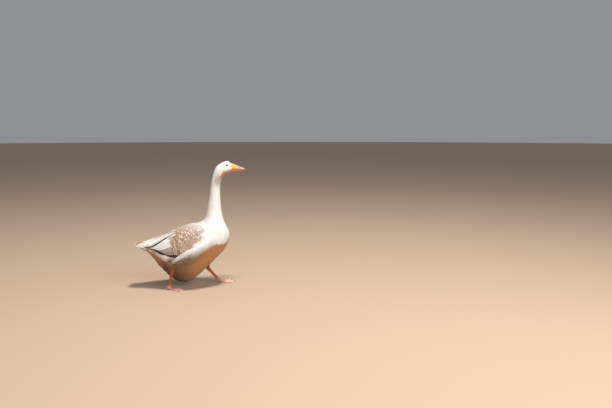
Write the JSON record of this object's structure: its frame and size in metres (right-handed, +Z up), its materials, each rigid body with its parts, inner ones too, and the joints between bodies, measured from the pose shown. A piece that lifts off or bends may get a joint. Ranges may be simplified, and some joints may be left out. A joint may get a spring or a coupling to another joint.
{
  "type": "domestic goose",
  "caption": "Life-size standing domestic goose in mid-stride, with a long upright neck, folded wings, a short tail, a hanging belly and webbed feet.",
  "frame": {"origin": "on the floor, below the middle of the bird's bounding box", "axes": "+Z up, the bird faces -Y, its left side is +X"},
  "size_m": [0.2461, 0.6037, 0.69],
  "materials": {
    "plumage": "soft matt white and buff body feathers",
    "wing_feathers": "matt brown-grey wing feathers with pale edges",
    "bill_horn": "satin orange horn, paler and pinker at the tip",
    "eye": "wet dark brown",
    "leg_skin": "scaled orange skin, satin",
    "claw_horn": "satin horn"
  },
  "bodies": {
    "root": {"head": "plumage", "neck_upper": "plumage", "neck_lower": "plumage", "trunk": "plumage", "tail": "plumage", "thigh_right": "plumage", "thigh_left": "plumage", "wing_right": "wing_feathers", "wing_left": "wing_feathers", "bill_upper": "bill_horn", "bill_lower": "bill_horn", "eye_right": "eye", "eye_left": "eye", "shank_right": "leg_skin", "shank_left": "leg_skin", "foot_right": "leg_skin", "foot_left": "leg_skin", "hind_toe_right": "leg_skin", "hind_toe_left": "leg_skin", "claw_right_1": "claw_horn", "claw_right_2": "claw_horn", "claw_right_3": "claw_horn", "claw_left_1": "claw_horn", "claw_left_2": "claw_horn", "claw_left_3": "claw_horn"}
  },
  "joints": []
}
